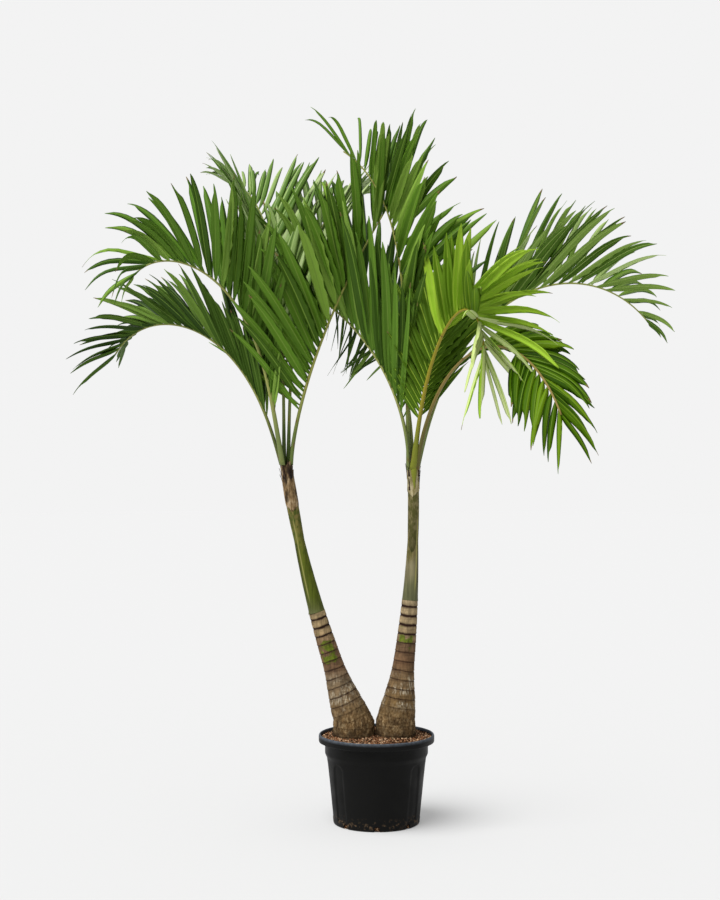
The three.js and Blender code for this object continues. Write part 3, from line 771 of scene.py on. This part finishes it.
def make_crumbs():
    """Loose lumps over the soil and in the drain notches."""
    random = np.random.default_rng(CRUMB_SEED)
    parts = []
    for _ in range(CRUMBS.tries):
        radius = (SOIL.radius - CRUMBS.inset) * sqrt(random.random())
        angle = random.uniform(0, 2 * pi)
        x, y = radius * cos(angle), radius * sin(angle)
        if under_stem(x, y):
            continue
        size = random.uniform(*CRUMBS.sizes)
        place = np.array([x, y, soil_height(x, y) + size * CRUMBS.raised])
        parts.append(crumb(place, size, CRUMBS.chances, random))
    for angle in NOTCH_ANGLES:
        for _ in range(NOTCH_CRUMBS.count):
            turn = angle + random.uniform(-NOTCH_CRUMBS.turn, NOTCH_CRUMBS.turn)
            radius = random.uniform(*NOTCH_CRUMBS.radii)
            size = random.uniform(*NOTCH_CRUMBS.sizes)
            height = random.uniform(*NOTCH_CRUMBS.heights)
            place = np.array([radius * cos(turn), radius * sin(turn), height])
            parts.append(crumb(place, size, NOTCH_CRUMBS.chances, random))
    points, faces, slots, _ = joined(parts)
    crumbs = make_mesh("soil_crumbs", points, faces, [MATERIALS[tone] for tone in CRUMB_TONES], slots)
    crumbs.data.polygons.foreach_set("use_smooth", np.zeros(len(faces), dtype=bool))
    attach(crumbs, "root")


# Stems
def stem_centre(stem, height):
    share = np.maximum(0, (height - BEND_START) / (stem.top - BEND_START))
    pull = 2 * stem.middle_x - (stem.foot_x + stem.top_x) / 2
    rest = 1 - share
    return rest ** 2 * stem.foot_x + 2 * rest * share * pull + share ** 2 * stem.top_x


def stem_lean(stem, height):
    """How far the centre line moves sideways for each metre of height."""
    step = 0.002
    return (stem_centre(stem, height + step) - stem_centre(stem, height - step)) / (2 * step)


def stem_radius(stem, height):
    taper = WAIST.radius + WAIST.growth * np.maximum(0, WAIST.height - height)
    flare = stem.flare * (1 - smoothstep(height, FLARE.bottom, FLARE.top))
    upper = np.clip((height - WAIST.height) / (stem.top - WAIST.height), 0, 1)
    return taper + flare + stem.swell * np.sin(pi * upper)


def square_to_axis(stem, angles, heights, reach=0.1):
    """Tilts the rings near the joint of trunk and crownshaft, so that the joint is square to the stem."""
    near = np.exp(-((heights - stem.joint) / reach) ** 2)
    return heights - near * stem_lean(stem, heights) * stem_radius(stem, heights) * np.cos(angles)


def stem_points(stem, angles, heights, radius):
    centre = stem_centre(stem, heights)
    return np.stack([centre + radius * np.cos(angles), radius * np.sin(angles), heights], 1)


def stem_skin(stem, low, high, grid):
    """A stem's smooth skin, ring after ring: its angles, heights, radii, points and faces."""
    rings = int(round((high - low) / grid.step)) + 1
    angles = np.tile(full_turn(grid.sides), rings)
    heights = square_to_axis(stem, angles, np.repeat(np.linspace(low, high, rings), grid.sides))
    radius = stem_radius(stem, heights)
    return angles, heights, radius, stem_points(stem, angles, heights, radius), loft_faces(rings, grid.sides)


def leaf_scars(stem, angles, level):
    """How far each point is below its nearest leaf scar, and whether it is low enough to have one."""
    wave = 0.0022 * cloud(np.stack([np.cos(angles), np.sin(angles), level * 6], 1), 1.1, 3)
    depth = (stem.joint - SCAR.first - level + wave) / stem.scars
    order = np.round(depth)
    return (depth - order) * stem.scars, order >= 0


def moss_share(stem, angles, level, smooth, line):
    """Moss in patches round the stem's front, thick over its mossy heights and thin beyond them."""
    low, high = stem.moss
    solid = band(level, low - 0.01, low, high, high + 0.01)
    sparse = band(level, low - 0.045, low, high, high + 0.055)
    moss = smoothstep(cloud(smooth, 30, 8, 1.3) + 0.62 * solid, 0.28, 0.52)
    moss *= sparse * (1 - 0.8 * line) * (1 - smoothstep(np.abs(np.cos(angles) + 0.08), 0.58, 0.82))
    return moss * smoothstep(-np.sin(angles), -0.2, 0.5) * 0.9


def make_trunk(side):
    """A trunk with its leaf scars, fibres, cracks and a rough foot."""
    stem = STEMS[side]
    angles, heights, radius, smooth, faces = stem_skin(stem, STEM_FOOT, stem.joint, TRUNK_GRID)
    level = heights + stem_lean(stem, heights) * radius * np.cos(angles)
    gap, scarred = leaf_scars(stem, angles, level)
    foot = 1 - smoothstep(level, 0.42, 0.62)
    upper = smoothstep(level, 0.68, 0.76)
    broken = np.clip(0.95 + 0.5 * cloud(smooth, 26, 4, 0.4), 0.45, 1.3)
    width = (0.0022 + 0.0032 * upper) * broken
    line = np.exp(-np.abs(gap / width) ** 2.4) * (0.3 + 0.7 * smoothstep(level, 0.40, 0.50)) * scarred
    lip = np.exp(-((gap + 0.004) / 0.003) ** 2) * scarred
    fibres = cloud(smooth, 110, stem.fibre_seed, 0.16)
    rough = cloud(smooth, 55, 6, 0.6)
    cracks = smoothstep(-fibres, 0.28, 0.5) * (0.25 + 0.5 * foot)
    relief = (-SCAR.depth * line + SCAR.lip * lip + BARK.fibre * fibres
              + foot * (BARK.foot_rough * rough + BARK.foot_fibre * fibres) - BARK.crack * cracks)
    points = stem_points(stem, angles, heights, radius + relief)
    trunk = make_mesh(f"{side}_trunk_bark", points, faces, [MATERIALS[f"bark_{side}"]])
    halo = 0.3 * np.exp(-((gap - 0.003) / 0.007) ** 2) * scarred * smoothstep(level, 0.42, 0.52)
    dark = line * (0.55 + 0.45 * upper) * np.minimum(broken * 1.1, 1) + cracks * 0.5 + halo
    lichen = band(level, 0.43, 0.47, 0.545, 0.60)
    pale = lichen * smoothstep(cloud(smooth, 22, 11), -0.35, 0.2) * (1 - 0.7 * line)
    paint(trunk, "bark", dark, pale, moss_share(stem, angles, level, smooth, line))
    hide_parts(f"{side}_trunk")
    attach(trunk, "root")


def sheath_end_shadow(stem, angles, heights, mottle):
    """A painted shadow at a sheath's end: dark, with a curved lower edge, at the crownshaft's front, fading
    upwards.
    """
    aside = turned(angles, SHEATH_FRONT)
    edge = stem.mark + 0.03 * (aside / 0.7) ** 2 + 0.003 * mottle
    fading = np.exp(-np.clip(heights - edge, 0, None) / stem.mark_fade)
    return 0.85 * smoothstep(heights, edge - 0.004, edge) * fading * np.exp(-(aside / 0.9) ** 4)


def make_crownshaft(side):
    """The smooth sheath above a trunk, ribbed along it, one margin lapping over the other."""
    stem = STEMS[side]
    angles, heights, radius, smooth, faces = stem_skin(stem, stem.joint + GAP, stem.top, SHAFT_GRID)
    share = (heights - stem.joint) / (stem.top - stem.joint)
    fibres = cloud(smooth, 160, 12, 0.05)
    turn = turned(angles, radians(stem.margin) + 0.5 * share)
    lap = np.where(turn > 0, np.exp(-turn / 0.5), 0) * 0.0016
    lip = 0.0012 * np.exp(-share / 0.012)
    points = stem_points(stem, angles, heights, radius + 0.00035 * fibres + lap + lip - 0.0008)
    shaft = make_mesh(f"{side}_crownshaft_skin", points, faces, [MATERIALS[f"shaft_{side}"]])
    mottle = cloud(smooth, 70, 14, 0.5)
    ridge = np.exp(-(turn / 0.10) ** 2) * band(share, 0.04, 0.16, 0.55, 0.7)
    shaded = smoothstep(stem.shade * turn, 0.12, 0.4)
    shaded *= band(heights, stem.joint + 0.02, stem.joint + 0.08, stem.shade_top - 0.05, stem.shade_top)
    # Painted shade on the side past the margin, and the painted shadow at a sheath's end
    dark = 0.6 * shaded * (1 + 0.5 * mottle) + sheath_end_shadow(stem, angles, heights, mottle)
    paint(shaft, "marks", dark, ridge)
    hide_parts(f"{side}_crownshaft")
    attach(shaft, "root")


def ragged_sleeve(stem):
    """A dry sheath round the crownshaft, thin, with a torn upper edge and a loose lower one."""
    sides, rings, torn, seed = SLEEVE.sides, SLEEVE.rings, SLEEVE.torn, stem.sheath_seed
    angles = full_turn(sides)
    around = circle(1, angles, 0.0)
    edge = stem.top + SLEEVE.above + torn * (cloud(around, 1.4, seed) + 0.6 * cloud(around, 5, seed + 1))
    tongue = 1 - np.exp(-(turned(angles, SHEATH_FRONT) / 0.75) ** 2)
    foot = stem.sheath + SLEEVE.hang * tongue + 0.5 * torn * cloud(around, 3.1, seed + 2)
    outer = []
    for share in shares(rings):
        heights = foot + (edge - foot) * share
        flare = 0.0015 * max(0, share - 0.75) * 4 - 0.0008 * exp(-share / 0.04)
        spread = stem_radius(stem, np.minimum(heights, stem.top)) + SLEEVE.proud + flare
        places = np.stack([around[:, 0], around[:, 1], heights * 12], 1)
        spread = spread + 0.0008 * cloud(places, 3, seed + 3)
        outer.append(stem_points(stem, angles, heights, spread))
    inner = [ring.copy() for ring in reversed(outer)]
    for ring in inner:
        middle = stem_centre(stem, ring[:, 2])
        ring[:, 0] = middle + (ring[:, 0] - middle) * SLEEVE.inside
        ring[:, 1] = ring[:, 1] * SLEEVE.inside
    faces = loft_faces(2 * rings, sides, caps=False)
    last = (2 * rings - 1) * sides
    faces += [(last + i, last + (i + 1) % sides, (i + 1) % sides, i) for i in range(sides)]
    return part(np.vstack([*outer, *inner]), faces, 0)


def torn_strips(stem):
    """Dark torn ends of old sheaths that stick up between the petioles."""
    random = np.random.default_rng(stem.strip_seed)
    parts = []
    for _ in range(STRIPS.count):
        angle = random.uniform(0, 2 * pi)
        if stem.wedged and abs(angle - WEDGE.middle) < WEDGE.clear:
            continue
        out, side = outward(angle)
        length = random.uniform(*STRIPS.lengths)
        width = random.uniform(*STRIPS.widths)
        low = stem.top - random.uniform(*STRIPS.depths)
        points = []
        for share in shares(STRIPS.stations):
            height = low + length * share
            axis = np.array([stem_centre(stem, min(height, stem.top)), 0, height])
            splay = STRIPS.radius + STRIPS.splay * share ** 2
            middle = axis + out * splay + side * random.uniform(-0.001, 0.001)
            half = width * (1 - 0.75 * share) * random.uniform(0.7, 1.1)
            points += [middle - side * half, middle + out * 0.0012]
            points += [middle + side * half, middle - out * 0.0006]
        parts.append(part(np.array(points), loft_faces(STRIPS.stations, 4), 1))
    return parts


def petiole_wedge(stem):
    """The foot of the lowest petiole, which runs down over the sheath and ends in a point."""
    high = stem.top + WEDGE.above
    points = []
    for share in shares(WEDGE.stations):
        height = high + (WEDGE.tip - high) * share
        centre = float(stem_centre(stem, height))
        radius = float(stem_radius(stem, min(height, stem.top)))
        half = WEDGE.half_width * (1 - share ** 1.3) + 0.0006
        thickness = WEDGE.thickness * min(1, 0.5 + 3 * share) * (1 - share) ** 0.8 + 0.0016
        for across, proud in WEDGE_SECTION:
            angle = WEDGE.middle + across * half / radius
            reach = radius + proud * thickness
            points.append((centre + reach * cos(angle), reach * sin(angle), height))
    faces = flipped(loft_faces(WEDGE.stations, len(WEDGE_SECTION)))
    return part(np.array(points), faces, 2)


def make_sheath(side):
    """The dry sheath at a crownshaft's top, its torn strips and, on one stem, a petiole's foot."""
    stem = STEMS[side]
    parts = [ragged_sleeve(stem), *torn_strips(stem)]
    if stem.wedged:
        parts.append(petiole_wedge(stem))
    points, faces, slots, _ = joined(parts)
    tones = [MATERIALS[name] for name in (f"sheath_{side}", "sheath_torn", "rib_bright")]
    sheath = make_mesh(f"{side}_dry_sheath", points, faces, tones, slots)
    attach(sheath, "root")


# Fronds
def rib_axes(frond, share):
    """The directions forward along the rib, to its side and out of its upper face."""
    slope = radians(frond.rise - (frond.rise + frond.droop) * share ** frond.bend)
    heading = radians(frond.heading + frond.turn * share ** 1.5)
    roll = radians(frond.roll)
    forward = np.array([cos(slope) * cos(heading), cos(slope) * sin(heading), sin(slope)])
    level = np.array([-sin(heading), cos(heading), 0.0])
    upright = np.cross(forward, level)
    side = level * cos(roll) - upright * sin(roll)
    return forward, side, np.cross(forward, side)


def rib_points(frond):
    """The rib's line, step by step from its seat on the stem."""
    stem = STEMS[frond.stem]
    seat = radians(frond.seat)
    points = [np.array([stem.top_x + PETIOLE.ring * cos(seat),
                        PETIOLE.ring * sin(seat), stem.top + GAP])]
    for step in range(ARC_STEPS):
        forward, _, _ = rib_axes(frond, (step + 0.5) / ARC_STEPS)
        points.append(points[-1] + forward * frond.length / ARC_STEPS)
    return points


def rib_point(frond, share):
    place = min(max(share, 0), 1) * ARC_STEPS
    step = min(int(place), ARC_STEPS - 1)
    return frond.points[step] + (frond.points[step + 1] - frond.points[step]) * (place - step)


def make_rib(frond):
    """A petiole and rib: wide and channelled at the foot, slim and ridged at the tip."""
    points = []
    uv = []
    for share in shares(RIB_STATIONS):
        forward, side, upper = rib_axes(frond, share)
        if share == 0:
            upper = np.cross((0, 0, 1), side)
        radius = PETIOLE.radius + (PETIOLE.tip - PETIOLE.radius) * share ** 0.8
        radius *= 1 + (frond.stout - 1) * (1 - share) ** 2
        wide = 1 + (PETIOLE.foot - 1) * exp(-(share / PETIOLE.foot_reach) ** 2)
        centre = rib_point(frond, share)
        for corner in range(RIB_SIDES):
            turn = 2 * pi * corner / RIB_SIDES
            channel = 1 - 0.38 * exp(-((sin(turn) - 1) / 0.28) ** 2)
            points.append(centre + side * radius * wide * cos(turn) + upper * radius * channel * sin(turn))
            uv.append((corner / RIB_SIDES, share))
    faces = flipped(loft_faces(RIB_STATIONS, RIB_SIDES))
    return make_mesh(f"{frond.name}_rib", points, faces, [MATERIALS[f"rib_{frond.tint}"]], uv=uv)


def leaf_tone(frond, place, sign, chance):
    """The tone of a leaflet: by chance, or by its place where a frond pales towards its tip.
    There the darkest tone near the root is painted shade, and the right row's lighter tone is painted light.
    """
    if not frond.bands:
        return int(3 * chance)
    green, pale = frond.bands
    loose = place + 0.14 * (chance - 0.5)
    # Painted shade near the root
    if loose < green:
        return 0
    if loose > pale:
        return 3
    # Painted light: the right row always gets the lighter tone
    return 2 if sign > 0 or chance > 0.6 else 1


def leaf_shape(frond, place):
    """A leaflet's outline: slender on the bright frond, and blunt where that one hangs."""
    if not frond.bands:
        return LEAF_SHAPE
    return BLUNT_SHAPE if place > frond.bands[1] else SLIM_SHAPE


def leaflet_plan(frond, index, sign):
    """Where a leaflet springs and how it points: the solids' rule, with finer steps. Each scatter call
    takes its own step from the leaflet's seed, so that the chances don't hang together."""
    place = (index + 0.5 + 0.25 * sign) / frond.pairs
    share = frond.bare + (1 - frond.bare) * place
    forward, side, upper = rib_axes(frond, share)
    seed = frond.seat * 7 + index * 2.37 + sign
    group = scatter(frond.seat + index // 3 * 5.1 + sign)
    loose = (6 + 12 * place) * frond.ragged * (scatter(seed) - 0.5)
    spread = radians(along(frond.spread, place) + loose + 9 * (group - 0.5))
    lift = radians(along(frond.lift, place) + 14 * (scatter(seed + 31) - 0.5))
    far_loss = frond.far * max(0, (place - ROW_CREST) / (1 - ROW_CREST)) ** frond.fade
    near_loss = frond.near * max(0, (ROW_CREST - place) / ROW_CREST) ** 2
    ray = forward * cos(spread) + side * sign * sin(spread) * cos(lift) + upper * sin(spread) * sin(lift)
    across = unit(forward - ray * forward.dot(ray)) * sign
    face = np.cross(across, ray)
    loose_tilt = (10 + 44 * place) * (scatter(seed + 19) - 0.5)
    tilt = radians(along(frond.tilt, place) + loose_tilt)
    across = across * cos(tilt) - face * sign * sin(tilt)
    return Data(
        root=rib_point(frond, share),
        ray=ray,
        lean=forward * frond.curl + np.array([0, 0, -1.6 * frond.sag]),
        across=across,
        length=frond.leaf * (1 - far_loss - near_loss) * (1.06 - frond.loose * scatter(seed + 57)),
        width=frond.width * float(np.interp(place, (0, 0.15, 0.5, 1), (0.5, 1, 1, frond.thin))),
        hook=along(frond.hook, place) * (0.4 + 1.2 * scatter(seed + 71)),
        twist=radians(50) * (scatter(seed + 83) - 0.5),
        cut=0.76 + 0.16 * scatter(seed + 67),
        short_side=1 if scatter(seed + 61) > 0.5 else -1,
        gone=scatter(seed + 41) < frond.gaps * place or sign < 0 and place < frond.clear,
        tone=leaf_tone(frond, place, sign, 0.6 * scatter(seed + 91) + 0.4 * group),
        tones=len(TINTS[frond.tint].upper),
        # The pattern of painted shade from the leaflet's fold, chosen by chance
        streak=int(3 * scatter(seed + 103)),
        dry=scatter(seed + 97),
        shape=leaf_shape(frond, place),
    )


def leaflet_piece(plan):
    """One leaflet as a thin closed blade: ridged, tapering, bent by its weight, its tip cut aslant."""
    t = np.array(LEAF_PLACES)[:, None]
    length = plan.length
    centre = plan.root + plan.ray * length * t + plan.lean * length * t ** 3 / 3
    fall = np.maximum(0, t - 0.5) ** 2 * 4
    centre = centre + np.array([0, 0, -1.0]) * fall * plan.hook * length * 0.5
    centre = centre - plan.ray * fall * plan.hook * length * 0.22
    tangent = unit(np.gradient(centre, axis=0))
    across = unit(plan.across - tangent * (tangent @ plan.across)[:, None])
    face = np.cross(across, tangent)
    turn = plan.twist * t
    across, face = (across * np.cos(turn) + face * np.sin(turn),
                    face * np.cos(turn) - across * np.sin(turn))
    half = 0.5 * plan.width * np.array(plan.shape)[:, None]
    short = 1 - 0.85 * smoothstep(t, plan.cut, plan.cut + 0.09)
    aslant = np.where(LEAF_ACROSS * plan.short_side > 0.2, short, 1)
    fold = 1.9 - 1.2 * t
    rise = LEAF_HEIGHT * half * fold * aslant - LEAF_UNDER * LEAF_SKIN
    points = (centre[:, None, :] + across[:, None, :] * (LEAF_ACROSS * half * aslant)[:, :, None]
              + face[:, None, :] * rise[:, :, None])
    sides = len(LEAF_ACROSS)
    stations = len(LEAF_PLACES)
    faces = loft_faces(stations, sides)
    tone = plan.tone
    tones = plan.tones
    # Painted shade of the fold: by chance none, the outer strips or the right half take the next darker tone
    fold_shade_tone = max(tone - 1, 0)
    strips = ((tone, tone, tone, tone), (fold_shade_tone, tone, tone, fold_shade_tone), (tone, tone, fold_shade_tone, fold_shade_tone))
    outer_left, inner_left, inner_right, outer_right = strips[plan.streak]
    below = tone + tones
    ridge = 2 * tones
    dry_tip = ridge + 1
    ring = [outer_left, inner_left, ridge, inner_right, outer_right, below, below, ridge, below, below]
    slots = ring * (stations - 1) + [tone, tone]
    if plan.dry > DRY_ABOVE:
        slots[-2 - sides:] = [dry_tip] * (sides + 2)
    uv = np.stack([np.tile(LEAF_ACROSS * 0.5 + 0.5, stations), np.repeat(t[:, 0], sides)], 1)
    return points.reshape(-1, 3), faces, slots, uv


def make_frond(frond):
    """A frond's rib and its leaflets, in place of its solid or of both halves of it."""
    frond.points = rib_points(frond)
    nodes = [frond.name, f"{frond.name}_tip"] if frond.tip else [frond.name]
    rib = make_rib(frond)
    plans = [leaflet_plan(frond, index, sign) for index in range(frond.pairs) for sign in (1, -1)]
    parts = [leaflet_piece(plan) for plan in plans if not plan.gone]
    points, faces, slots, uv = joined(parts)
    leaflets = make_mesh(f"{frond.name}_leaflets", points, faces, LEAF_SETS[frond.tint], slots, uv)
    for piece in (rib, leaflets):
        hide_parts(*nodes)
        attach(piece, "root")


# Studio
def make_studio():
    """A pale floor that meets a pale background, with soft fill light."""
    material, _, _ = new_material("studio_floor", Base_Color=grey(FLOOR_TONE), Roughness=1.0,
                                  Specular_IOR_Level=0, Emission_Color=grey(1),
                                  Emission_Strength=FLOOR_GLOW)
    points = circle(FLOOR_RADIUS, full_turn(FLOOR_SIDES), 0.0)
    floor = make_mesh("studio_floor", points, [tuple(range(FLOOR_SIDES))], [material])
    world = bpy.data.worlds.new("studio")
    bpy.context.scene.world = world
    world.use_nodes = True
    tree = world.node_tree
    background = tree.nodes["Background"]
    seen = add_node(tree, "LightPath").outputs["Is Camera Ray"]
    tone = blend_colours(tree, seen, grey(WORLD_LIGHT), grey(BACKGROUND))
    tree.links.new(tone, background.inputs["Color"])
    return floor


def group(name, pieces):
    """A collection of pieces for a light to fall on, or to be blocked by."""
    members = bpy.data.collections.new(name)
    for piece in pieces:
        members.objects.link(piece)
    return members


def make_sun(name, lit, tilt, blockers=None):
    """A soft sun from the upper left that lights some pieces, and is blocked by all or by some. A level
    surface gets the same light from it at any tilt."""
    sun = bpy.data.lights.new(name, "SUN")
    sun.energy = SUN_STRENGTH * cos(radians(SUN_TILT)) / cos(radians(tilt))
    sun.angle = radians(SUN_SPREAD)
    lamp = bpy.data.objects.new(name, sun)
    lamp.rotation_euler = (radians(tilt), 0, radians(SUN_TURN))
    bpy.context.scene.collection.objects.link(lamp)
    lamp.light_linking.receiver_collection = group(f"{name}_lit", lit)
    if blockers:
        lamp.light_linking.blocker_collection = group(f"{name}_blockers", blockers)


def make_suns(floor):
    """One sun for the plant, and a steeper one for the floor that only pot, soil and trunks block."""
    pieces = [piece for piece in bpy.context.scene.objects if piece.type == "MESH" and piece != floor]
    solid = [piece for piece in pieces if piece.name.startswith(FLOOR_SHADOW_NAMES)]
    make_sun("plant_sun", pieces, SUN_TILT)
    make_sun("floor_sun", [floor], FLOOR_SUN_TILT, solid)


def make_camera():
    camera = bpy.data.cameras.new("camera")
    camera.sensor_fit = "VERTICAL"
    camera.sensor_height = CAMERA_SENSOR
    camera.lens = CAMERA_LENS
    holder = bpy.data.objects.new("camera", camera)
    holder.location = CAMERA_PLACE
    holder.rotation_euler = (radians(90), 0, 0)
    bpy.context.scene.collection.objects.link(holder)
    bpy.context.scene.camera = holder


make_camera()
studio_floor = make_studio()
MATERIALS = make_materials()
LEAF_SETS = {kind: leaf_materials(kind) for kind in TINTS}
make_pot()
make_soil()
make_crumbs()
for stem_side in STEMS:
    make_trunk(stem_side)
    make_crownshaft(stem_side)
    make_sheath(stem_side)
for frond_plan in FRONDS:
    make_frond(frond_plan)
make_suns(studio_floor)

bpy.context.scene.view_settings.view_transform = "Standard"
